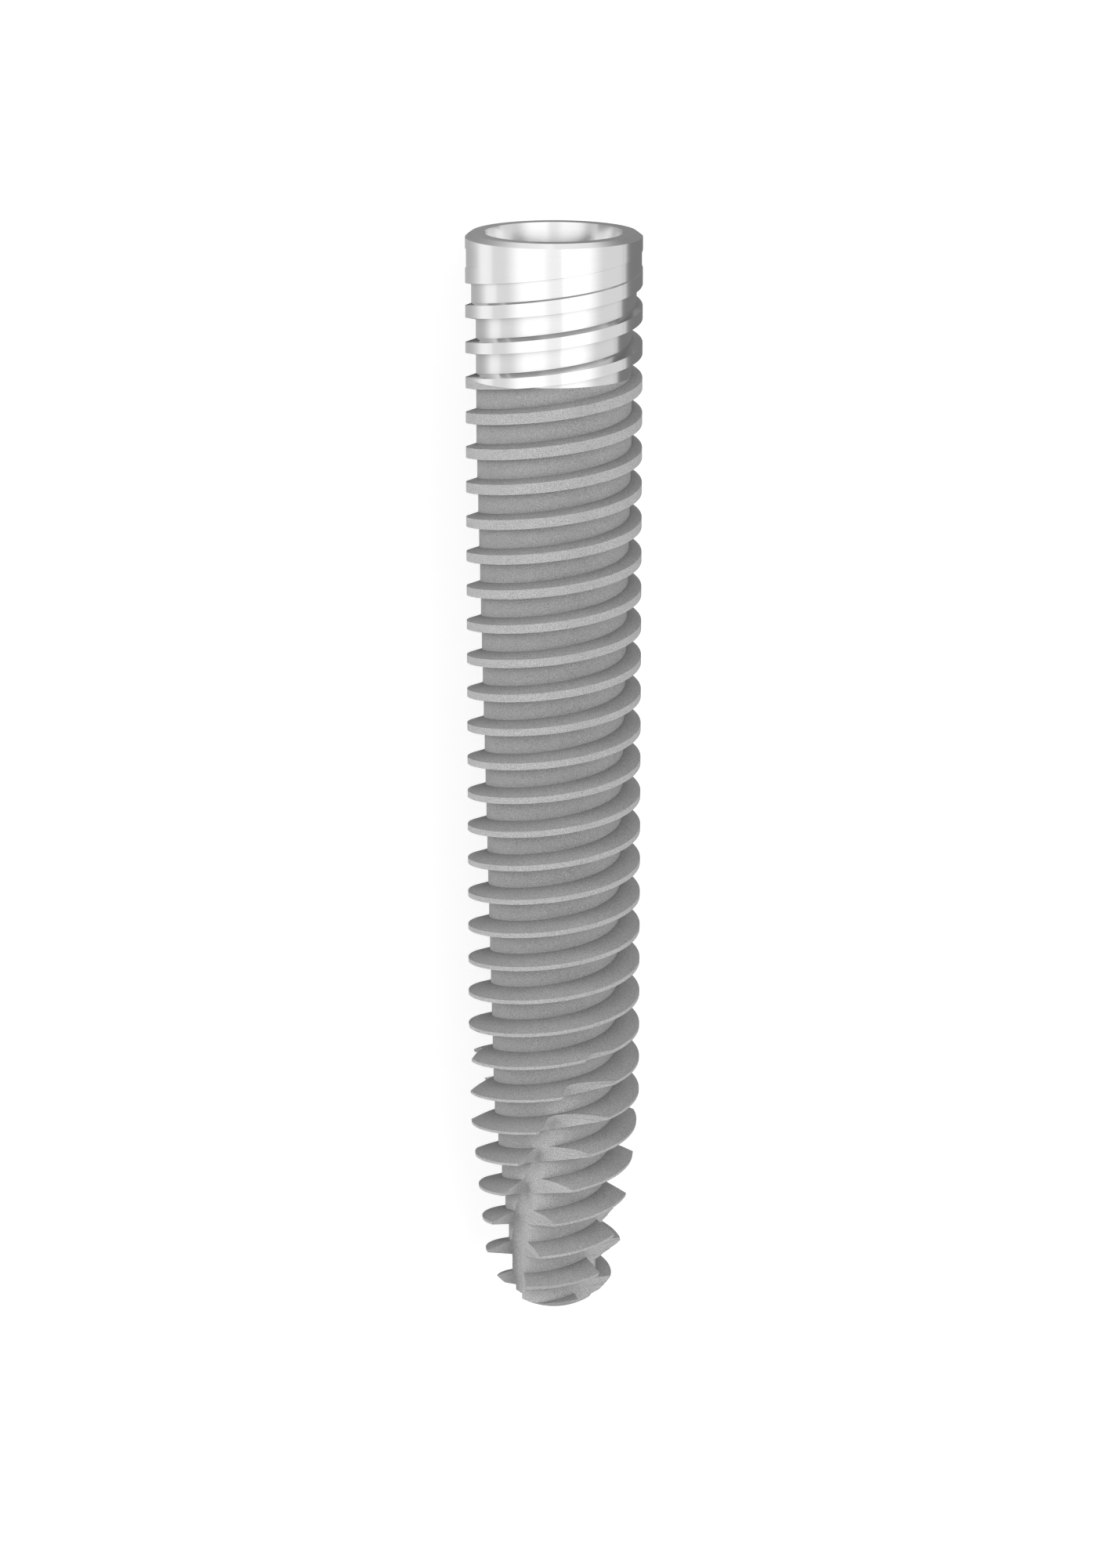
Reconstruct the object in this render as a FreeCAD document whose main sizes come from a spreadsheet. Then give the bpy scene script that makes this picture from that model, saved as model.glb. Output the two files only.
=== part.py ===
"""Bone-level dental implant: one piece of titanium, turned, thread-whirled and milled.

The screw is described in its own frame: its axis is Z, the platform lies in the plane z = 0 and the
apex points down, so a depth is measured down from the platform and a height up from the tip. The
finished piece is then laid on its side, as it comes to rest: axis along Y, platform at +Y, thread
crests on the plane z = 0.
"""

import FreeCAD, Part
import Sketcher
import math
import os

from FreeCAD import Placement, Rotation, Vector

NODE = "implant_body"

# Millimetres and degrees.
SIZES = (
    ("outer_dia", 3.75, "diameter over the thread crests and the collar"),
    ("total_length", 24.0, "platform to the tip of the apex"),
    ("bevel_width", 0.125, "radial width of the bevel between platform and collar"),
    ("bevel_height", 0.095, "axial height of that bevel"),
    ("rim_width", 0.275, "radial width of the flat platform ring"),
    ("thread_pitch", 0.75, "axial distance from one ridge to the next"),
    ("thread_starts", 2, "ridges that wind side by side round the core"),
    ("thread_bearing", -70.5, "bearing at which the first groove leaves the collar"),
    ("thread_start_depth", 0.415, "depth at which the grooves leave the collar"),
    ("thread_runout", 1.55, "axial length over which the grooves reach their depth at the neck"),
    ("neck_groove_depth", 0.225, "radial depth of the grooves at the neck"),
    ("neck_length", 2.435, "axial length of the neck, where that depth stays the same"),
    ("apical_groove_depth", 0.555, "radial depth of the grooves where the apical taper starts"),
    ("apical_crest_width", 0.05, "width of a ridge's crest there"),
    ("upper_flank_deg", 20.0, "slope of a ridge's flank that faces the platform"),
    ("lower_flank_deg", 10.0, "slope of a ridge's flank that faces the apex"),
    ("apical_height", 4.8, "height above the tip at which core and crests turn in"),
    ("apical_taper_deg", 5.8, "taper of core and crests below that height"),
    ("tip_radius", 1.6, "radius of the domed apex"),
    ("seat_half_angle", 8.0, "half the included angle of the conical seat"),
    ("seat_depth", 2.4, "depth of the conical seat"),
    ("hex_across_flats", 1.9, "index hexagon below the seat"),
    ("hex_length", 1.2, "axial length of the hexagon"),
    ("screw_bore_dia", 1.3, "bore for the abutment screw"),
    ("screw_bore_depth", 7.5, "depth of the full bore below the platform"),
    ("drill_point_deg", 118.0, "included angle of the bore's drilled end"),
    ("flute_count", 3, "cutting flutes round the apex"),
    ("flute_lead", 18.5, "axial length of one turn of a flute"),
    ("flute_bearing", 15.2, "bearing of a flute's cutting wall at its upper end"),
    ("flute_height", 6.6, "height above the tip at which a flute leaves the crests"),
    ("flute_entry", 2.1, "axial length of the curved run-in at its upper end"),
    ("flute_depth", 0.588, "radial depth of a flute at the foot of the run-in"),
    ("flute_floor_deg", 8.3, "slope of the floor from there towards the axis"),
    ("flute_corner", 0.18, "radius between a flute's wall and its floor"),
)

# Spans of each edge of a thread patch.
EDGE_SPANS = 8

# Where the sections of a flute lie, as shares of its run-in and of its straight part. The first and
# the last lie outside the metal.
RUN_IN_SHARES = (-0.25, 0.0, 0.35, 0.7, 1.0)
STRAIGHT_SHARES = (0.25, 0.5, 0.75, 1.0, 1.2)

# The side of the blank clears the thread crests by this factor.
OVERSIZE = 0.6


def make_sheet(doc):
    """The driving dimensions, one named cell each."""
    sheet = doc.addObject("Spreadsheet::Sheet", "sizes")
    for row, (alias, value, meaning) in enumerate(SIZES, start=1):
        sheet.set(f"A{row}", alias)
        sheet.set(f"B{row}", str(value))
        sheet.set(f"C{row}", meaning)
        sheet.setAlias(f"B{row}", alias)
    doc.recompute()
    return sheet


class Thread:
    """The surface that the whirling cutter leaves: grooves in a collar, crests between them."""

    def __init__(self, sheet):
        self.outer = sheet.outer_dia / 2
        self.pitch = sheet.thread_pitch
        self.starts = round(sheet.thread_starts)
        self.bearing = sheet.thread_bearing
        self.first = sheet.thread_start_depth
        self.full = self.first + sheet.thread_runout
        self.neck_end = self.full + sheet.neck_length
        self.apical = sheet.total_length - sheet.apical_height
        self.neck_root = self.outer - sheet.neck_groove_depth
        self.apical_root = self.outer - sheet.apical_groove_depth
        self.taper = math.tan(math.radians(sheet.apical_taper_deg))
        self.upper_slope = math.tan(math.radians(sheet.upper_flank_deg))
        self.lower_slope = math.tan(math.radians(sheet.lower_flank_deg))
        flanks = sheet.apical_groove_depth * (self.upper_slope + self.lower_slope)
        self.floor = self.pitch - sheet.apical_crest_width - flanks
        self.patches = math.ceil((sheet.total_length + self.pitch - self.first) / self.pitch) + 1

    def root(self, depth):
        """Radius of the groove's floor, given the depth of the groove's middle."""
        if depth < self.full:
            return self.neck_root + (self.full - depth) * (self.outer - self.neck_root) / (
                self.full - self.first
            )
        if depth < self.neck_end:
            return self.neck_root
        if depth < self.apical:
            return self.neck_root - (depth - self.neck_end) * (
                self.neck_root - self.apical_root
            ) / (self.apical - self.neck_end)
        return self.apical_root - (depth - self.apical) * self.taper

    def crest(self, depth):
        """Radius over the crests."""
        return self.outer - max(0.0, depth - self.apical) * self.taper

    def floor_top(self, depth):
        return self.root(depth), self.floor / 2 - depth

    def floor_bottom(self, depth):
        return self.root(depth), -self.floor / 2 - depth

    def upper_edge(self, depth):
        """Where the flank above the groove meets the crest."""
        root = self.root(depth)
        edge = depth - self.floor / 2 - (self.outer - root) * self.lower_slope
        if edge > self.apical:
            cone = self.outer + self.apical * self.taper
            edge = (depth - self.floor / 2 - (cone - root) * self.lower_slope) / (
                1 - self.taper * self.lower_slope
            )
        return self.crest(edge), -edge

    def lower_edge(self, depth):
        """Where the flank below the groove meets the crest."""
        root = self.root(depth)
        edge = depth + self.floor / 2 + (self.outer - root) * self.upper_slope
        if edge > self.apical:
            cone = self.outer + self.apical * self.taper
            edge = (depth + self.floor / 2 + (cone - root) * self.upper_slope) / (
                1 + self.taper * self.upper_slope
            )
        return self.crest(edge), -edge

    def collar_top(self, depth):
        """A circle just above the platform, where the surface starts."""
        return self.outer, self.first

    def edge(self, line, start, patch):
        """One patch's length of a line that winds round the axis with the grooves."""
        shares = [step / EDGE_SPANS for step in range(EDGE_SPANS + 1)]
        points = []
        for share in shares:
            radius, height = line(self.first + (patch + share) * self.pitch)
            turns = (start - patch - share) / self.starts
            angle = math.radians(self.bearing - 90 + 360 * turns)
            points.append(Vector(radius * math.cos(angle), radius * math.sin(angle), height))
        curve = Part.BSplineCurve()
        curve.interpolate(Points=points, Parameters=shares)
        return curve

    def surface(self):
        """The sewn surface, open above the platform and below the tip."""
        faces = []
        for start in range(self.starts):
            below = (start + 1) % self.starts
            collar_top = self.edge(self.collar_top, start, 0)
            faces.append(ruled_face(collar_top, self.edge(self.upper_edge, start, 0)))
            for patch in range(self.patches):
                upper = self.edge(self.upper_edge, start, patch)
                floor_top = self.edge(self.floor_top, start, patch)
                floor_bottom = self.edge(self.floor_bottom, start, patch)
                lower = self.edge(self.lower_edge, start, patch)
                next_upper = self.edge(self.upper_edge, below, patch + 1)
                faces.append(ruled_face(upper, floor_top))
                faces.append(ruled_face(floor_top, floor_bottom))
                faces.append(ruled_face(floor_bottom, lower))
                faces.append(ruled_face(lower, next_upper))
        shell = Part.Compound(faces)
        shell.sewShape(1e-4)
        return shell


def ruled_face(first, second):
    """A ruled face between two curves that wind round the axis side by side.

    A curve weighs inversely as its radius: a flank's points then lie evenly along its chords, and it
    divides into far fewer triangles.
    """
    weights = [1 / math.hypot(curve.StartPoint.x, curve.StartPoint.y) for curve in (first, second)]
    poles = [list(pair) for pair in zip(first.getPoles(), second.getPoles())]
    surface = Part.BSplineSurface()
    surface.buildFromPolesMultsKnots(
        poles,
        first.getMultiplicities(),
        [2, 2],
        first.getKnots(),
        [0, 1],
        False,
        False,
        first.Degree,
        1,
        [weights for _ in poles],
    )
    return surface.toShape()


def turn_blank(body):
    """The bar before threading: platform, bevel, oversize side and domed apex."""
    sketch = add_sketch(body, "blank_profile", "XZ_Plane")
    platform = "sizes.outer_dia / 2 - sizes.bevel_width"
    side = f"sizes.outer_dia * {OVERSIZE}"
    bevel_foot = f"({side} - ({platform})) * sizes.bevel_height / sizes.bevel_width"
    centre = "sizes.total_length - sizes.tip_radius"
    draw_half_section(
        sketch,
        [
            (None, None),
            (platform, None),
            (side, bevel_foot),
            (side, centre),
            ("sizes.tip_radius", centre),
            (None, "sizes.total_length"),
        ],
        rounded=4,
    )
    revolution = body.newObject("PartDesign::Revolution", "turned")
    revolution.Profile = sketch
    revolution.ReferenceAxis = (sketch, ["V_Axis"])
    revolution.Angle = 360
    return revolution


def split_off_core(blank, surface, sheet):
    """The blank inside the thread surface."""
    pieces, _ = blank.generalFuse([surface])
    middle = Vector(0, 0, -sheet.total_length / 2)
    return next(solid for solid in pieces.Solids if solid.isInside(middle, 1e-6, True))


def add_body(doc, name):
    body = doc.addObject("PartDesign::Body", name)
    body.Label = name
    return body


def origin_feature(body, role):
    return next(item for item in body.Origin.OriginFeatures if item.Role == role)


def add_sketch(body, name, plane):
    """A sketch on one of the body's own planes."""
    sketch = body.newObject("Sketcher::SketchObject", name)
    sketch.AttachmentSupport = (origin_feature(body, plane), [""])
    sketch.MapMode = "FlatFace"
    return sketch


def tie(sketch, kind, *ends, formula):
    """A dimension of a sketch that follows the sheet."""
    value = float(sketch.evalExpression(formula))
    index = sketch.addConstraint(Sketcher.Constraint(kind, *ends, value))
    sketch.setExpression(f"Constraints[{index}]", formula)


def draw_half_section(sketch, points, rounded=None):
    """Lines round a half section, given as radius and depth of each corner, None on an axis.

    The line that starts at the corner numbered rounded is a quarter circle about the axis instead.
    """
    corners = []
    for radius, depth in points:
        out = float(sketch.evalExpression(radius)) if radius else 0.0
        down = float(sketch.evalExpression(depth)) if depth else 0.0
        corners.append(Vector(out, -down, 0))
    count = len(corners)
    for here in range(count):
        start = corners[here]
        end = corners[(here + 1) % count]
        if here == rounded:
            centre = Vector(end.x, start.y, 0)
            arc = Part.Circle(centre, Vector(0, 0, 1), start.x)
            sketch.addGeometry(Part.ArcOfCircle(arc, -math.pi / 2, 0), False)
        else:
            sketch.addGeometry(Part.LineSegment(start, end), False)
    for here, (radius, depth) in enumerate(points):
        before = (here - 1) % count
        first = 2 if here == rounded else 1
        last = 1 if before == rounded else 2
        sketch.addConstraint(Sketcher.Constraint("Coincident", before, last, here, first))
        if radius:
            tie(sketch, "DistanceX", -1, 1, here, first, formula=radius)
        else:
            sketch.addConstraint(Sketcher.Constraint("PointOnObject", here, first, -2))
        if depth:
            tie(sketch, "DistanceY", here, first, -1, 1, formula=depth)
        else:
            sketch.addConstraint(Sketcher.Constraint("PointOnObject", here, first, -1))
    if rounded is not None:
        sketch.addConstraint(Sketcher.Constraint("PointOnObject", rounded, 3, -2))


def cut_socket(body):
    """Conical seat and screw bore, turned in one setting."""
    sketch = add_sketch(body, "socket_profile", "XZ_Plane")
    mouth = "sizes.outer_dia / 2 - sizes.bevel_width - sizes.rim_width"
    seat_foot = f"{mouth} - sizes.seat_depth * tan(sizes.seat_half_angle)"
    bore = "sizes.screw_bore_dia / 2"
    point = "sizes.screw_bore_depth + sizes.screw_bore_dia / 2 / tan(sizes.drill_point_deg / 2)"
    draw_half_section(
        sketch,
        [
            (None, None),
            (mouth, None),
            (seat_foot, "sizes.seat_depth"),
            (bore, "sizes.seat_depth"),
            (bore, "sizes.screw_bore_depth"),
            (None, point),
        ],
    )
    groove = body.newObject("PartDesign::Groove", "socket")
    groove.Profile = sketch
    groove.ReferenceAxis = (sketch, ["V_Axis"])
    groove.Angle = 360
    return groove


def cut_hexagon(body):
    """Index hexagon, broached from the foot of the seat."""
    sketch = add_sketch(body, "hexagon_profile", "XY_Plane")
    sketch.setExpression(".AttachmentOffset.Base.z", "-sizes.seat_depth")
    corner = "sizes.hex_across_flats / 2 / cos(30)"
    radius = float(sketch.evalExpression(corner))
    corners = [
        Vector(radius * math.cos(math.radians(60 * k)), radius * math.sin(math.radians(60 * k)), 0)
        for k in range(6)
    ]
    for here in range(6):
        sketch.addGeometry(Part.LineSegment(corners[here], corners[(here + 1) % 6]), False)
    circle = sketch.addGeometry(Part.Circle(Vector(0, 0, 0), Vector(0, 0, 1), radius), True)
    sketch.addConstraint(Sketcher.Constraint("Coincident", circle, 3, -1, 1))
    tie(sketch, "Radius", circle, formula=corner)
    for here in range(6):
        sketch.addConstraint(Sketcher.Constraint("Coincident", here, 2, (here + 1) % 6, 1))
        sketch.addConstraint(Sketcher.Constraint("PointOnObject", here, 1, circle))
        if here:
            sketch.addConstraint(Sketcher.Constraint("Equal", 0, here))
    sketch.addConstraint(Sketcher.Constraint("PointOnObject", 0, 1, -1))
    pocket = body.newObject("PartDesign::Pocket", "hexagon")
    pocket.Profile = sketch
    pocket.setExpression("Length", "sizes.hex_length")
    return pocket


def flute_section(body, name, depth, floor):
    """One cross-section of a flute: radial cutting wall, rounded corner and flat floor."""
    sketch = add_sketch(body, name, "XY_Plane")
    top = "(sizes.total_length - sizes.flute_height)"
    sketch.setExpression(".AttachmentOffset.Base.z", f"-({depth})")
    sketch.AttachmentOffset = Placement(Vector(0, 0, 0), Rotation(Vector(0, 0, 1), 1))
    sketch.setExpression(
        ".AttachmentOffset.Rotation.Angle",
        f"sizes.flute_bearing - 90 - 360 * (({depth}) - {top}) / sizes.flute_lead",
    )
    foot = float(sketch.evalExpression(floor))
    corner = float(sketch.evalExpression("sizes.flute_corner"))
    far = float(sketch.evalExpression("sizes.outer_dia"))
    sketch.addGeometry(Part.LineSegment(Vector(foot + corner, 0, 0), Vector(far, 0, 0)), False)
    sketch.addGeometry(Part.LineSegment(Vector(far, 0, 0), Vector(far, far, 0)), False)
    sketch.addGeometry(Part.LineSegment(Vector(far, far, 0), Vector(foot, far, 0)), False)
    sketch.addGeometry(Part.LineSegment(Vector(foot, far, 0), Vector(foot, corner, 0)), False)
    round_corner = Part.Circle(Vector(foot + corner, corner, 0), Vector(0, 0, 1), corner)
    sketch.addGeometry(Part.ArcOfCircle(round_corner, math.pi, 1.5 * math.pi), False)
    for here in range(3):
        sketch.addConstraint(Sketcher.Constraint("Coincident", here, 2, here + 1, 1))
    sketch.addConstraint(Sketcher.Constraint("Tangent", 3, 2, 4, 1))
    sketch.addConstraint(Sketcher.Constraint("Tangent", 4, 2, 0, 1))
    sketch.addConstraint(Sketcher.Constraint("PointOnObject", 0, 1, -1))
    sketch.addConstraint(Sketcher.Constraint("Horizontal", 0))
    sketch.addConstraint(Sketcher.Constraint("Vertical", 1))
    sketch.addConstraint(Sketcher.Constraint("Horizontal", 2))
    sketch.addConstraint(Sketcher.Constraint("Vertical", 3))
    tie(sketch, "DistanceX", -1, 1, 0, 2, formula="sizes.outer_dia")
    tie(sketch, "DistanceY", -1, 1, 1, 2, formula="sizes.outer_dia")
    tie(sketch, "DistanceX", -1, 1, 3, 1, formula=floor)
    tie(sketch, "Radius", 4, formula="sizes.flute_corner")
    return sketch


def cut_flutes(body):
    """One flute along its helix, then the others round the axis."""
    top = "sizes.total_length - sizes.flute_height"
    slope = "tan(sizes.flute_floor_deg)"
    floor = "sizes.outer_dia / 2 - sizes.flute_depth"
    straight = "(sizes.flute_height - sizes.flute_entry)"
    sections = []
    for share in RUN_IN_SHARES:
        left = 1 - share
        depth = f"{top} + sizes.flute_entry * {share}"
        rise = f"sizes.flute_entry * {slope}"
        radius = f"{floor} + {rise} * {left} + (sizes.flute_depth - {rise}) * {left ** 2}"
        sections.append((depth, radius))
    for share in STRAIGHT_SHARES:
        depth = f"{top} + sizes.flute_entry + {straight} * {share}"
        radius = f"{floor} - {straight} * {slope} * {share}"
        sections.append((depth, radius))
    sketches = []
    for number, (depth, radius) in enumerate(sections, start=1):
        sketches.append(flute_section(body, f"flute_section_{number}", depth, radius))
    loft = body.newObject("PartDesign::SubtractiveLoft", "flute")
    loft.Profile = sketches[0]
    loft.Sections = sketches[1:]
    loft.Refine = False
    flutes = body.newObject("PartDesign::PolarPattern", "flutes")
    flutes.Originals = [loft]
    flutes.Axis = (origin_feature(body, "Z_Axis"), [""])
    flutes.Angle = 360
    flutes.Refine = False
    flutes.setExpression("Occurrences", "sizes.flute_count")
    body.Tip = flutes
    return flutes


def check(doc):
    """Stops if any feature failed or holds no sound shape."""
    for item in doc.Objects:
        if "Invalid" in item.State or "Error" in item.State:
            raise RuntimeError(f"{item.Label}: {item.State}")
    for item in doc.Objects:
        if item.TypeId in ("PartDesign::Body", "Part::Feature"):
            if item.Shape.isNull() or not item.Shape.isValid():
                raise RuntimeError(f"{item.Label} has no sound shape")


def main():
    doc = FreeCAD.newDocument("dental_implant")
    sheet = make_sheet(doc)

    blank = add_body(doc, "blank")
    turn_blank(blank)
    doc.recompute()

    surface = doc.addObject("Part::Feature", "thread_surface")
    surface.Shape = Thread(sheet).surface()
    threaded = doc.addObject("Part::Feature", "threaded_blank")
    threaded.Shape = split_off_core(blank.Shape, surface.Shape, sheet)

    body = add_body(doc, NODE)
    body.BaseFeature = threaded
    doc.recompute()
    cut_socket(body)
    cut_hexagon(body)
    cut_flutes(body)
    body.Placement = Placement(Vector(0, 0, 0), Rotation(Vector(1, 0, 0), -90))
    body.setExpression("Placement.Base.y", "sizes.total_length / 2")
    body.setExpression("Placement.Base.z", "sizes.outer_dia / 2")
    doc.recompute()

    check(doc)
    if len(body.Shape.Solids) != 1:
        raise RuntimeError(f"{NODE} is not one solid")
    os.makedirs("parts", exist_ok=True)
    body.Shape.exportStep(f"parts/{NODE}.step")


main()
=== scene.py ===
"""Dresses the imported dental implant: a fine copy of its thread, polished collar, blasted body."""

import math

import bmesh
import bpy
from mathutils import Matrix, Vector


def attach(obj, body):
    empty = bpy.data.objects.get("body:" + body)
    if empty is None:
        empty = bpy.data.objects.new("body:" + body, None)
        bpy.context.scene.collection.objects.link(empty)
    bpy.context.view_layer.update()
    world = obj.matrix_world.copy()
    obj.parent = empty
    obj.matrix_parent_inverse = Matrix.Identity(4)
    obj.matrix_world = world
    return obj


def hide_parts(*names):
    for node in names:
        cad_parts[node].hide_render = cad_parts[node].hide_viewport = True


MM = 0.001
NODE = "implant_body"

# The screw's sizes in millimetres and degrees, as in the CAD part. Depths run down from the platform.
OUTER = 1.875
LENGTH = 24.0
PLATFORM = 1.75
BEVEL_HEIGHT = 0.095
TIP_RADIUS = 1.6

# Socket
MOUTH = 1.475
SEAT_HALF_ANGLE = 8.0
SEAT_DEPTH = 2.4
SEAT_FOOT = MOUTH - SEAT_DEPTH * math.tan(math.radians(SEAT_HALF_ANGLE))
HEX_APOTHEM = 0.95
HEX_CORNER = 30.0
HEX_DEPTH = 3.6
BORE = 0.65
BORE_DEPTH = 7.5
DRILL_HALF_ANGLE = 59.0
BORE_POINT = BORE_DEPTH + BORE / math.tan(math.radians(DRILL_HALF_ANGLE))

# Thread: the groove deepens from the shoulder to the neck, and again to the apical taper.
PITCH = 0.75
STARTS = 2
BEARING = -70.5
THREAD_START = 0.415
THREAD_FULL = THREAD_START + 1.55
NECK_END = THREAD_FULL + 2.435
APICAL = LENGTH - 4.8
NECK_CUT = 0.225
APICAL_CUT = 0.555
NECK_ROOT = OUTER - NECK_CUT
APICAL_ROOT = OUTER - APICAL_CUT
NARROWEST_CREST = 0.05
UPPER_SLOPE = math.tan(math.radians(20.0))
LOWER_SLOPE = math.tan(math.radians(10.0))
TAPER = math.tan(math.radians(5.8))
FLOOR = PITCH - NARROWEST_CREST - APICAL_CUT * (UPPER_SLOPE + LOWER_SLOPE)

# Flutes
FLUTES = 3
FLUTE_LEAD = 18.5
FLUTE_BEARING = 15.2
FLUTE_TOP = LENGTH - 6.6
FLUTE_ENTRY = 2.1
FLUTE_DEPTH = 0.588
FLUTE_SLOPE = math.tan(math.radians(8.3))
FLUTE_CORNER = 0.18

# Mesh. Columns round the axis: a multiple of six for the hexagon's corners and of the starts.
COLUMNS = 192
PER_PITCH = COLUMNS // STARTS
TURNS_DOWN = math.ceil((LENGTH + PITCH - THREAD_START) / PITCH) + 1
DOME_ROWS = 48
FLUTE_SECTIONS = 128
CORNER_STEPS = 8
CUT_CLEARANCE = 1.0
SHARP_FROM = 24.0

# Finish. Noise scales are in cycles per millimetre, and pairs are the low and the high end.
POLISH_DEPTH = 3.04
NOISE_RANGE = (0.25, 0.75)
CORNER_RAYS = 16
MARK_SCALE = (0.6, 30.0, 0.6)
MARK_HEIGHT = 0.00004
POLISHED_TONE = (0.9, 0.92)
POLISHED_ROUGHNESS = (0.13, 0.16)
SOCKET_DULLNESS = 0.04
SOCKET_MARGIN = 0.002
# Painted shade in the polished colour: darker where corners close in, within this reach.
CORNER_SHADE_REACH = 0.45
CORNER_OPENNESS = (0.3, 0.8)
CORNER_SHADE = (0.35, 1.0)
GRAIN_SCALE = 68.0
GRAIN_HEIGHT = 0.01
BLASTED_TONE = (0.18, 0.59)
BLASTED_ROUGHNESS = (0.6, 0.75)
BLASTED_SPECULAR = 0.3
PATCH_SCALE = 1.5
PATCH_TONE = (0.98, 1.02)
# Painted shade in the blasted colour: darker in the grooves, within this reach.
GROOVE_SHADE_REACH = 0.42

# Camera. The bearing that faces it is measured from straight up, towards +X.
VIEW_BEARING = -13.5
CAMERA_TILT = 14.983
CAMERA_DISTANCE = 99.795
CAMERA_AIM = 12.0204
CLIP_START = 1.0
CLIP_END = 10000.0
FOCAL_PIXELS = 5867.55
FRAME_HEIGHT = 2001
SENSOR = 36.0

# Studio
ROOM = 0.544
FLOOR_RADIUS = 1500.0
FLOOR_TONE = 0.3
FLOOR_LIFT = 0.82
LAMP_DISTANCE = 150.0
CARD_DISTANCE = 60.0
SOCKET_CARD_DISTANCE = 55.0


def root(depth):
    """Radius of the groove's floor, given the depth of the groove's middle."""
    if depth < THREAD_FULL:
        return NECK_ROOT + (THREAD_FULL - depth) * (OUTER - NECK_ROOT) / (THREAD_FULL - THREAD_START)
    if depth < NECK_END:
        return NECK_ROOT
    if depth < APICAL:
        return NECK_ROOT - (depth - NECK_END) * (NECK_ROOT - APICAL_ROOT) / (APICAL - NECK_END)
    return APICAL_ROOT - (depth - APICAL) * TAPER


def crest(depth):
    return OUTER - max(0.0, depth - APICAL) * TAPER


def upper_edge(depth):
    """Where the flank above the groove meets the crest."""
    edge = depth - FLOOR / 2 - (OUTER - root(depth)) * LOWER_SLOPE
    if edge > APICAL:
        cone = OUTER + APICAL * TAPER - root(depth)
        edge = (depth - FLOOR / 2 - cone * LOWER_SLOPE) / (1 - TAPER * LOWER_SLOPE)
    return crest(edge), edge


def lower_edge(depth):
    """Where the flank below the groove meets the crest."""
    edge = depth + FLOOR / 2 + (OUTER - root(depth)) * UPPER_SLOPE
    if edge > APICAL:
        cone = OUTER + APICAL * TAPER - root(depth)
        edge = (depth + FLOOR / 2 + cone * UPPER_SLOPE) / (1 + TAPER * UPPER_SLOPE)
    return crest(edge), edge


def groove_lines(depth):
    """The four lines of a groove, from the platform's side: radius and depth of each."""
    return (
        upper_edge(depth),
        (root(depth), depth - FLOOR / 2),
        (root(depth), depth + FLOOR / 2),
        lower_edge(depth),
    )


def in_row(radius, bearing, depth):
    """A point of the screw in the row's frame: bearing 0 faces up, the platform is at +Y."""
    angle = math.radians(bearing)
    return Vector(
        (
            radius * math.sin(angle) * MM,
            (LENGTH / 2 - depth) * MM,
            (OUTER + radius * math.cos(angle)) * MM,
        )
    )


def column_bearing(column):
    """Bearings fall as the thread goes down, so the columns do too."""
    return BEARING - 360.0 * column / COLUMNS


def hexagon(bearing):
    """Radius of the index hexagon on a bearing."""
    off = (bearing - HEX_CORNER + 30.0) % 60.0 - 30.0
    return HEX_APOTHEM / math.cos(math.radians(30.0 - abs(off)))


def join(bm, upper, lower):
    """A band of quads between two rings of as many points."""
    count = len(upper)
    for k in range(count):
        after = (k + 1) % count
        bm.faces.new((upper[k], upper[after], lower[after], lower[k]))


def fan(bm, points, centre):
    count = len(points)
    for k in range(count):
        bm.faces.new((points[k], points[(k + 1) % count], centre))


def build_socket(bm):
    """The socket, from the bottom of the bore outwards. Returns the shoulder's ring."""

    def ring(radius, depth, turn=0.0):
        points = []
        for column in range(COLUMNS):
            bearing = column_bearing(column) + turn
            r = radius(bearing) if callable(radius) else radius
            points.append(bm.verts.new(in_row(r, bearing, depth)))
        return points

    # The hexagon's corners lie on columns, so the socket's columns are turned a little.
    turn = (HEX_CORNER - BEARING) % (360.0 / COLUMNS)
    point = bm.verts.new(in_row(0.0, 0.0, BORE_POINT))
    rings = [
        ring(BORE, BORE_DEPTH, turn),
        ring(BORE, HEX_DEPTH, turn),
        ring(hexagon, HEX_DEPTH, turn),
        ring(hexagon, SEAT_DEPTH, turn),
        ring(SEAT_FOOT, SEAT_DEPTH, turn),
        ring(MOUTH, 0.0, turn),
        ring(PLATFORM, 0.0),
        ring(OUTER, BEVEL_HEIGHT),
    ]
    fan(bm, rings[0], point)
    for lower, upper in zip(rings, rings[1:]):
        join(bm, lower, upper)
    return rings[-1]


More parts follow.
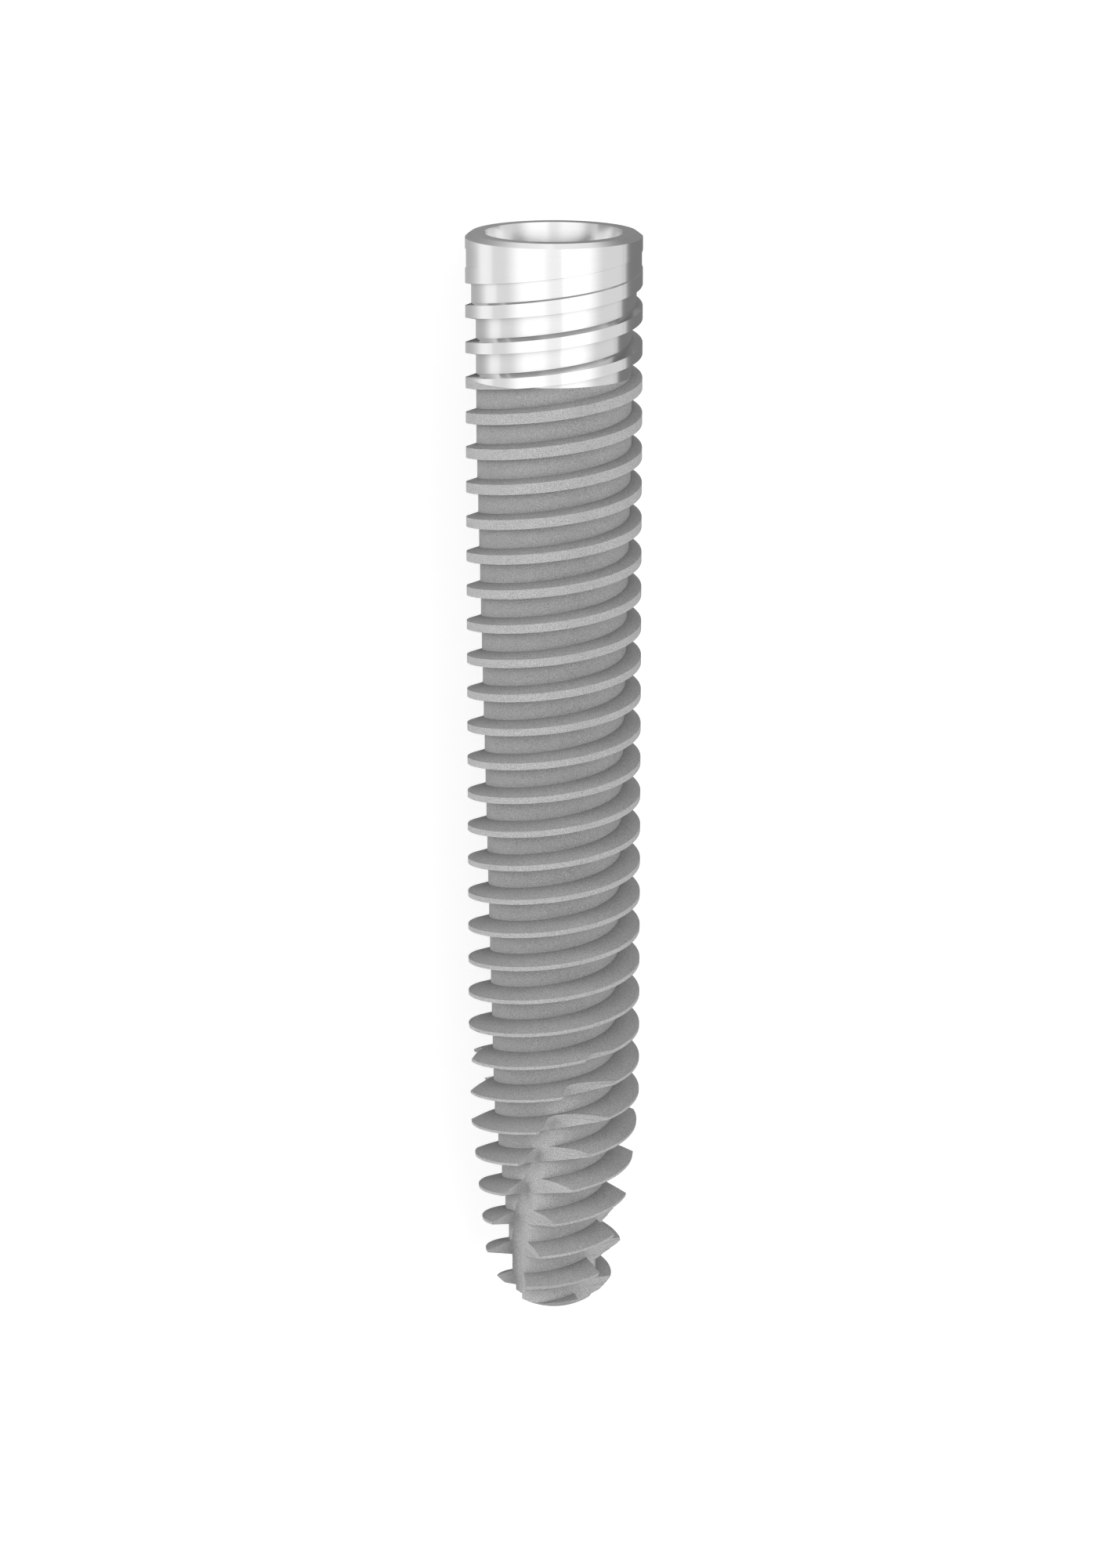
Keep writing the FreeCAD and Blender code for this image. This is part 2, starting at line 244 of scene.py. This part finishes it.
def build_screw():
    """The threaded screw with its socket, closed below the tip."""
    bm = bmesh.new()
    shoulder = build_socket(bm)

    # Thread: lines[start][step] holds the groove's four points, a step per column.
    steps = TURNS_DOWN * PER_PITCH
    lines = []
    for start in range(STARTS):
        rows = []
        for step in range(steps + 1):
            depth = THREAD_START + PITCH * step / PER_PITCH
            bearing = column_bearing(step - start * PER_PITCH)
            rows.append([bm.verts.new(in_row(r, bearing, d)) for r, d in groove_lines(depth)])
        lines.append(rows)
    for start in range(STARTS):
        here = lines[start]
        under = lines[(start + 1) % STARTS]
        for step in range(steps):
            above, below = here[step], here[step + 1]
            for line in range(3):
                bm.faces.new((above[line], below[line], below[line + 1], above[line + 1]))
            if step + 1 + PER_PITCH <= steps:
                next_above, next_below = under[step + PER_PITCH], under[step + 1 + PER_PITCH]
                bm.faces.new((above[3], below[3], next_below[0], next_above[0]))
        # Collar, from the shoulder down to this start's first groove.
        for step in range(PER_PITCH):
            column = (step - start * PER_PITCH) % COLUMNS
            corner = [shoulder[column], shoulder[(column + 1) % COLUMNS]]
            if step + 1 == PER_PITCH:
                before = lines[(start - 1) % STARTS]
                corner += [before[0][line] for line in range(4)]
            corner += [here[step + 1][0], here[step][0]]
            bm.faces.new(corner)

    # Below the tip: the open end is closed flat, and the turned blank cuts it off.
    rim = [edge for edge in bm.edges if edge.is_boundary]
    bmesh.ops.holes_fill(bm, edges=rim, sides=0)
    bmesh.ops.recalc_face_normals(bm, faces=bm.faces)
    return bm


def mesh_object(name, bm):
    mesh = bpy.data.meshes.new(name)
    bm.to_mesh(mesh)
    bm.free()
    made = bpy.data.objects.new(name, mesh)
    bpy.context.scene.collection.objects.link(made)
    return made


def build_blank():
    """The turned bar: straight above the dome's centre, a sphere below."""
    bm = bmesh.new()
    centre = LENGTH - TIP_RADIUS
    wide = 1.2 * OUTER
    step_down = centre - 0.2
    profile = [(wide, -CUT_CLEARANCE), (wide, step_down), (TIP_RADIUS, step_down)]
    for row in range(DOME_ROWS):
        angle = math.radians(90.0 * row / DOME_ROWS)
        profile.append((TIP_RADIUS * math.cos(angle), centre + TIP_RADIUS * math.sin(angle)))
    rings = [
        [bm.verts.new(in_row(r, 360.0 * k / COLUMNS, d)) for k in range(COLUMNS)]
        for r, d in profile
    ]
    for upper, lower in zip(rings, rings[1:]):
        join(bm, upper, lower)
    fan(bm, rings[-1], bm.verts.new(in_row(0.0, 0.0, LENGTH)))
    bm.faces.new(rings[0])
    bmesh.ops.recalc_face_normals(bm, faces=bm.faces)
    return mesh_object("blank", bm)


def flute_floor(depth):
    """Distance of a flute's floor from the axis."""
    foot = FLUTE_TOP + FLUTE_ENTRY
    radius = OUTER - FLUTE_DEPTH + (foot - depth) * FLUTE_SLOPE
    if depth < foot:
        share = (foot - depth) / FLUTE_ENTRY
        radius += (FLUTE_DEPTH - FLUTE_ENTRY * FLUTE_SLOPE) * share * share
    return radius


def build_flute(number):
    """The space that one flute takes out: a radial wall, a rounded corner and a flat floor."""
    bm = bmesh.new()
    first = FLUTE_TOP - CUT_CLEARANCE / 2
    last = LENGTH + CUT_CLEARANCE
    clear = 2 * OUTER
    rings = []
    for section in range(FLUTE_SECTIONS + 1):
        depth = first + (last - first) * section / FLUTE_SECTIONS
        helix = 360.0 * (depth - FLUTE_TOP) / FLUTE_LEAD
        turn = FLUTE_BEARING + 360.0 * number / FLUTES - helix
        floor = flute_floor(depth)
        outline = [(clear, 0.0), (clear, clear), (floor, clear)]
        for step in range(CORNER_STEPS + 1):
            angle = math.radians(180.0 + 90.0 * step / CORNER_STEPS)
            outline.append(
                (
                    floor + FLUTE_CORNER * (1 + math.cos(angle)),
                    FLUTE_CORNER * (1 + math.sin(angle)),
                )
            )
        ring = []
        for along, across in outline:
            bearing = turn + math.degrees(math.atan2(across, along))
            ring.append(bm.verts.new(in_row(math.hypot(along, across), bearing, depth)))
        rings.append(ring)
    for upper, lower in zip(rings, rings[1:]):
        join(bm, upper, lower)
    bm.faces.new(rings[0])
    bm.faces.new(rings[-1])
    bmesh.ops.recalc_face_normals(bm, faces=bm.faces)
    return mesh_object(f"flute_{number}", bm)


def apply_modifiers(target):
    graph = bpy.context.evaluated_depsgraph_get()
    result = bpy.data.meshes.new_from_object(target.evaluated_get(graph))
    target.modifiers.clear()
    spent = target.data
    target.data = result
    bpy.data.meshes.remove(spent)


def cut(target, tool, operation):
    """Applies one boolean with a tool object, and removes the tool."""
    modifier = target.modifiers.new(operation.lower(), "BOOLEAN")
    modifier.operation = operation
    modifier.object = tool
    modifier.solver = "EXACT"
    apply_modifiers(target)
    bpy.data.objects.remove(tool)


def build_implant():
    screw = mesh_object("implant", build_screw())
    blank = build_blank()
    # Turned faces are shaded smooth. The flutes' fine milled facets stay flat.
    screw.data.shade_smooth()
    blank.data.shade_smooth()
    cut(screw, blank, "INTERSECT")
    for number in range(FLUTES):
        cut(screw, build_flute(number), "DIFFERENCE")
    screw.data.set_sharp_from_angle(angle=math.radians(SHARP_FROM))
    # Large faces set the shading, so the slivers beside the cuts don't show.
    weighted = screw.modifiers.new("weighted", "WEIGHTED_NORMAL")
    weighted.keep_sharp = True
    apply_modifiers(screw)
    return screw


def new_material(name):
    """A material with an empty node tree and its output node."""
    material = bpy.data.materials.new(name)
    material.use_nodes = True
    tree = material.node_tree
    tree.nodes.clear()
    return material, tree, add_node(tree, "OutputMaterial")


def add_node(tree, kind, **settings):
    made = tree.nodes.new("ShaderNode" + kind)
    for name, value in settings.items():
        setattr(made, name, value)
    return made


def math_node(tree, operation, first, second):
    made = add_node(tree, "Math", operation=operation)
    for socket, value in zip(made.inputs, (first, second)):
        if isinstance(value, bpy.types.NodeSocket):
            tree.links.new(value, socket)
        else:
            socket.default_value = value
    return made.outputs[0]


def map_range(tree, value, source, target, **settings):
    """Maps a value from one range onto another and holds it there."""
    made = add_node(tree, "MapRange", **settings)
    made.inputs["From Min"].default_value = source[0]
    made.inputs["From Max"].default_value = source[1]
    made.inputs["To Min"].default_value = target[0]
    made.inputs["To Max"].default_value = target[1]
    tree.links.new(value, made.inputs["Value"])
    return made.outputs["Result"]


def spread(tree, value, target):
    """Maps a noise value from its usual range onto another."""
    return map_range(tree, value, NOISE_RANGE, target)


def millimetres(tree):
    """The piece's own coordinates in millimetres."""
    place = add_node(tree, "TexCoord")
    scale = add_node(tree, "VectorMath", operation="SCALE")
    scale.inputs["Scale"].default_value = 1 / MM
    tree.links.new(place.outputs["Object"], scale.inputs[0])
    return scale.outputs[0]


def noise(tree, vector, scale, detail, roughness=0.5):
    made = add_node(tree, "TexNoise")
    made.inputs["Scale"].default_value = scale
    made.inputs["Detail"].default_value = detail
    made.inputs["Roughness"].default_value = roughness
    tree.links.new(vector, made.inputs["Vector"])
    return made.outputs[0]


def openness(tree, reach):
    """1 in the open, less in corners and grooves, judged within a reach in millimetres."""
    made = add_node(tree, "AmbientOcclusion", samples=CORNER_RAYS, only_local=True)
    made.inputs["Distance"].default_value = reach * MM
    return made.outputs["AO"]


def grey(tree, level):
    made = add_node(tree, "CombineColor")
    for channel in range(3):
        tree.links.new(level, made.inputs[channel])
    return made.outputs[0]


def bump(tree, height, distance):
    made = add_node(tree, "Bump")
    made.inputs["Strength"].default_value = 1.0
    made.inputs["Distance"].default_value = distance * MM
    tree.links.new(height, made.inputs["Height"])
    return made.outputs["Normal"]


def within_socket(tree, vector):
    """1 inside the socket, 0 outside."""
    flat = add_node(tree, "VectorMath", operation="MULTIPLY_ADD")
    flat.inputs[1].default_value = (1.0, 0.0, 1.0)
    flat.inputs[2].default_value = (0.0, 0.0, -OUTER)
    tree.links.new(vector, flat.inputs[0])
    away = add_node(tree, "VectorMath", operation="LENGTH")
    tree.links.new(flat.outputs[0], away.inputs[0])
    return math_node(tree, "LESS_THAN", away.outputs["Value"], MOUTH + SOCKET_MARGIN)


def machined_shader(tree, vector):
    """Bright turned titanium: faint tool marks round the axis, painted shade in the colour of
    corners, a duller socket.
    """
    shader = add_node(tree, "BsdfPrincipled")
    shader.inputs["Metallic"].default_value = 1.0
    stretch = add_node(tree, "VectorMath", operation="MULTIPLY")
    stretch.inputs[1].default_value = MARK_SCALE
    tree.links.new(vector, stretch.inputs[0])
    marks = noise(tree, stretch.outputs[0], 1.0, detail=3.0)
    # Painted shade: the colour is darkened in corners and grooves by how closed in they are.
    shade = map_range(
        tree, openness(tree, CORNER_SHADE_REACH), CORNER_OPENNESS, CORNER_SHADE,
        interpolation_type="SMOOTHSTEP",
    )
    level = math_node(tree, "MULTIPLY", spread(tree, marks, POLISHED_TONE), shade)
    dull = math_node(tree, "MULTIPLY", within_socket(tree, vector), SOCKET_DULLNESS)
    roughness = math_node(tree, "ADD", spread(tree, marks, POLISHED_ROUGHNESS), dull)
    tree.links.new(grey(tree, level), shader.inputs["Base Color"])
    tree.links.new(roughness, shader.inputs["Roughness"])
    tree.links.new(bump(tree, marks, MARK_HEIGHT), shader.inputs["Normal"])
    return shader


def blasted_shader(tree, vector):
    """Matt grit-blasted and etched titanium: a fine even grain, with painted shade darkening the
    colour in the grooves.
    """
    shader = add_node(tree, "BsdfPrincipled")
    shader.inputs["Metallic"].default_value = 0.0
    shader.inputs["Specular IOR Level"].default_value = BLASTED_SPECULAR
    grain = noise(tree, vector, GRAIN_SCALE, detail=1.0, roughness=0.6)
    patches = noise(tree, vector, PATCH_SCALE, detail=1.0)
    level = math_node(
        tree, "MULTIPLY", spread(tree, grain, BLASTED_TONE), spread(tree, patches, PATCH_TONE)
    )
    # Painted shade: the colour darkens in the grooves by how closed in they are.
    level = math_node(tree, "MULTIPLY", level, openness(tree, GROOVE_SHADE_REACH))
    tree.links.new(grey(tree, level), shader.inputs["Base Color"])
    tree.links.new(spread(tree, grain, BLASTED_ROUGHNESS), shader.inputs["Roughness"])
    tree.links.new(bump(tree, grain, GRAIN_HEIGHT), shader.inputs["Normal"])
    return shader


def implant_titanium():
    """Machined down to the polish line, blasted below it."""
    material, tree, out = new_material("implant_titanium")
    vector = millimetres(tree)
    parts = add_node(tree, "SeparateXYZ")
    tree.links.new(vector, parts.inputs[0])
    blasted = math_node(tree, "LESS_THAN", parts.outputs["Y"], LENGTH / 2 - POLISH_DEPTH)
    mix = add_node(tree, "MixShader")
    tree.links.new(blasted, mix.inputs["Fac"])
    tree.links.new(machined_shader(tree, vector).outputs[0], mix.inputs[1])
    tree.links.new(blasted_shader(tree, vector).outputs[0], mix.inputs[2])
    tree.links.new(mix.outputs[0], out.inputs["Surface"])
    return material


def seen_directly(tree):
    """1 for what the camera sees, also by way of a reflection or through glass."""
    path = add_node(tree, "LightPath")
    seen = math_node(
        tree, "MAXIMUM", path.outputs["Is Camera Ray"], path.outputs["Is Glossy Ray"]
    )
    return math_node(tree, "MAXIMUM", seen, path.outputs["Is Transmission Ray"])


def build_floor():
    """White paper. It glows a little where it is seen, so the screw's shadow on it stays faint."""
    bm = bmesh.new()
    bmesh.ops.create_circle(bm, cap_ends=True, segments=96, radius=FLOOR_RADIUS * MM)
    floor = mesh_object("floor", bm)
    material, tree, out = new_material("floor_paper")
    paper = add_node(tree, "BsdfDiffuse")
    paper.inputs["Color"].default_value = (FLOOR_TONE, FLOOR_TONE, FLOOR_TONE, 1)
    glow = add_node(tree, "Emission")
    lift = math_node(tree, "MULTIPLY", seen_directly(tree), FLOOR_LIFT)
    tree.links.new(lift, glow.inputs["Strength"])
    both = add_node(tree, "AddShader")
    tree.links.new(paper.outputs[0], both.inputs[0])
    tree.links.new(glow.outputs[0], both.inputs[1])
    tree.links.new(both.outputs[0], out.inputs["Surface"])
    floor.data.materials.append(material)


def build_world():
    """A pale room that the camera sees as white."""
    world = bpy.data.worlds.new("studio")
    bpy.context.scene.world = world
    world.use_nodes = True
    tree = world.node_tree
    tree.nodes.clear()
    out = add_node(tree, "OutputWorld")
    background = add_node(tree, "Background")
    background.inputs["Color"].default_value = (1.0, 1.0, 1.0, 1.0)
    path = add_node(tree, "LightPath")
    lift = math_node(tree, "MULTIPLY", path.outputs["Is Camera Ray"], 1.0 - ROOM)
    tree.links.new(math_node(tree, "ADD", lift, ROOM), background.inputs["Strength"])
    tree.links.new(background.outputs[0], out.inputs["Surface"])


def aimed(bearing, along, distance):
    """A place round the screw that faces it. bearing is measured from the camera's side, and along
    is the angle from there towards the platform."""
    angle = math.radians(VIEW_BEARING + bearing)
    lean = math.radians(along)
    out = Vector(
        (math.sin(angle) * math.cos(lean), math.sin(lean), math.cos(angle) * math.cos(lean))
    )
    side = Vector((0.0, 1.0, 0.0)).cross(out).normalized()
    placed = Matrix((side, out.cross(side), out)).transposed().to_4x4()
    placed.translation = Vector((0.0, 0.0, OUTER * MM)) + out * distance * MM
    return placed


def on_floor(height, across=0.0, turn=0.0):
    """Just above the floor. A turn of 90 lays the card's tone along the screw."""
    placed = Matrix.Rotation(math.radians(turn), 4, "Z")
    placed.translation = Vector((across, 0.0, height)) * MM
    return placed


def standing(along, height):
    """Upright beyond the platform, its tone running left to right."""
    placed = Matrix.Rotation(math.radians(90.0), 4, "X")
    placed.translation = Vector((0.0, along, height)) * MM
    return placed


def reflector(name, placed, span, length, levels, stops=None):
    """A card that only reflections see, with one level or, given four stops, three: its tone runs
    from the first to the second between the first two stops, and on to the third between the
    last two."""
    bm = bmesh.new()
    half = length / 2
    corners = ((span[0], -half), (span[1], -half), (span[1], half), (span[0], half))
    bm.faces.new([bm.verts.new(Vector((x, y, 0.0)) * MM) for x, y in corners])
    card = mesh_object(name, bm)
    card.matrix_world = placed
    material, tree, out = new_material(name)
    glow = add_node(tree, "Emission")
    if stops is None:
        glow.inputs["Strength"].default_value = levels[0]
    else:
        parts = add_node(tree, "SeparateXYZ")
        tree.links.new(millimetres(tree), parts.inputs[0])
        level = levels[0]
        for k in range(2):
            rise = (0.0, levels[k + 1] - levels[k])
            ramp = map_range(
                tree, parts.outputs["X"], stops[2 * k : 2 * k + 2], rise,
                interpolation_type="SMOOTHSTEP",
            )
            level = math_node(tree, "ADD", ramp, level)
        tree.links.new(level, glow.inputs["Strength"])
    tree.links.new(glow.outputs[0], out.inputs["Surface"])
    card.data.materials.append(material)
    card.visible_camera = False
    card.visible_diffuse = False
    card.visible_shadow = False
    card.visible_transmission = False


def soft_lamp(name, bearing, along, width, length, radiance):
    """A large soft lamp. Polished metal reflects the cards instead of it."""
    lamp = bpy.data.lights.new(name, "AREA")
    lamp.shape = "RECTANGLE"
    lamp.size = width * MM
    lamp.size_y = length * MM
    lamp.energy = radiance * math.pi * lamp.size * lamp.size_y
    made = bpy.data.objects.new(name, lamp)
    made.matrix_world = aimed(bearing, along, LAMP_DISTANCE)
    made.visible_glossy = False
    bpy.context.scene.collection.objects.link(made)


def build_lamps():
    soft_lamp("left_lamp", bearing=-69.0, along=0.0, width=40.0, length=160.0, radiance=9.4)
    soft_lamp("right_lamp", bearing=48.0, along=0.0, width=120.0, length=160.0, radiance=2.8)
    soft_lamp("end_lamp", bearing=0.0, along=55.0, width=140.0, length=110.0, radiance=0.5)


def build_cards():
    """What the polished metal reflects."""
    # Above the screw, for the collar's cylinder.
    reflector(
        "left_box", aimed(-43.5, 0.0, CARD_DISTANCE),
        span=(-48, 79), length=160, stops=(-28, 4, 29, 50), levels=(0.74, 1.15, 0.95),
    )
    reflector(
        "right_box", aimed(30.0, 0.0, CARD_DISTANCE),
        span=(-22.5, 170), length=160, stops=(-30, -29, 6, 46), levels=(1.2, 1.2, 0.71),
    )
    # On the floor beside it, for the collar's sides.
    reflector(
        "left_floor", on_floor(0.02),
        span=(-300, 0), length=160, stops=(-22, -9, -6.4, -2.4), levels=(0.74, 0.95, 0.46),
    )
    reflector(
        "right_floor", on_floor(0.02),
        span=(0, 300), length=160, stops=(-2, -1, 9, 60), levels=(0.2, 0.2, 0.64),
    )
    reflector("under_floor", on_floor(0.03), span=(-1.6, 1.9), length=160, levels=(0.1,))
    # Beyond the platform, for the bevel.
    reflector(
        "left_end", on_floor(0.04, across=-50.0, turn=90.0),
        span=(12.0, 300.0), length=100, stops=(11.5, 23, 25, 45), levels=(0.28, 0.85, 1.05),
    )
    reflector(
        "right_end", on_floor(0.04, across=50.0, turn=90.0),
        span=(12.0, 300.0), length=100, stops=(14.5, 32, 36, 70), levels=(0.25, 0.85, 0.95),
    )
    # Upright and dark, for the flanks of the polished thread.
    reflector("left_fin", standing(19.0, 10.0), span=(-60, -8), length=20, levels=(0.32,))
    reflector("right_fin", standing(21.0, 10.0), span=(10.5, 60), length=20, levels=(0.2,))
    # The far edge of the room, for the bevel.
    reflector(
        "far_end", standing(160.0, 14.0),
        span=(-280, 280), length=28, stops=(-120, -70, 60, 110), levels=(0.35, 1.05, 0.35),
    )
    # High beyond the platform and dark, for the flanks and for the sides of the socket's cone.
    reflector(
        "end_board", aimed(0.0, 56.0, CARD_DISTANCE), span=(-110, 110), length=50, levels=(0.43,)
    )
    reflector(
        "socket_board", aimed(13.5, 43.0, SOCKET_CARD_DISTANCE),
        span=(-120, 120), length=22, levels=(0.25,),
    )


def build_camera():
    data = bpy.data.cameras.new("camera")
    camera = bpy.data.objects.new("camera", data)
    bpy.context.scene.collection.objects.link(camera)
    placed = aimed(0.0, CAMERA_TILT, CAMERA_DISTANCE)
    placed.translation.y += (LENGTH / 2 - CAMERA_AIM) * MM
    camera.matrix_world = placed
    data.sensor_width = SENSOR
    data.lens = SENSOR * FOCAL_PIXELS / FRAME_HEIGHT
    data.clip_start = CLIP_START * MM
    data.clip_end = CLIP_END * MM
    bpy.context.scene.camera = camera


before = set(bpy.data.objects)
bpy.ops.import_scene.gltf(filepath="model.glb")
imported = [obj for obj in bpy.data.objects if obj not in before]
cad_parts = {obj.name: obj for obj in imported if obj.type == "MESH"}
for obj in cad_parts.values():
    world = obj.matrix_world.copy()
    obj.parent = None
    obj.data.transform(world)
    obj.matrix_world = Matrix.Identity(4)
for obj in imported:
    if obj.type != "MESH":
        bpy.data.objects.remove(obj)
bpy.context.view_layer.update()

implant = build_implant()
implant.data.materials.append(implant_titanium())
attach(implant, "root")
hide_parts(NODE)

build_floor()
build_world()
build_lamps()
build_cards()
build_camera()
bpy.context.scene.view_settings.view_transform = "Standard"

bpy.context.view_layer.update()
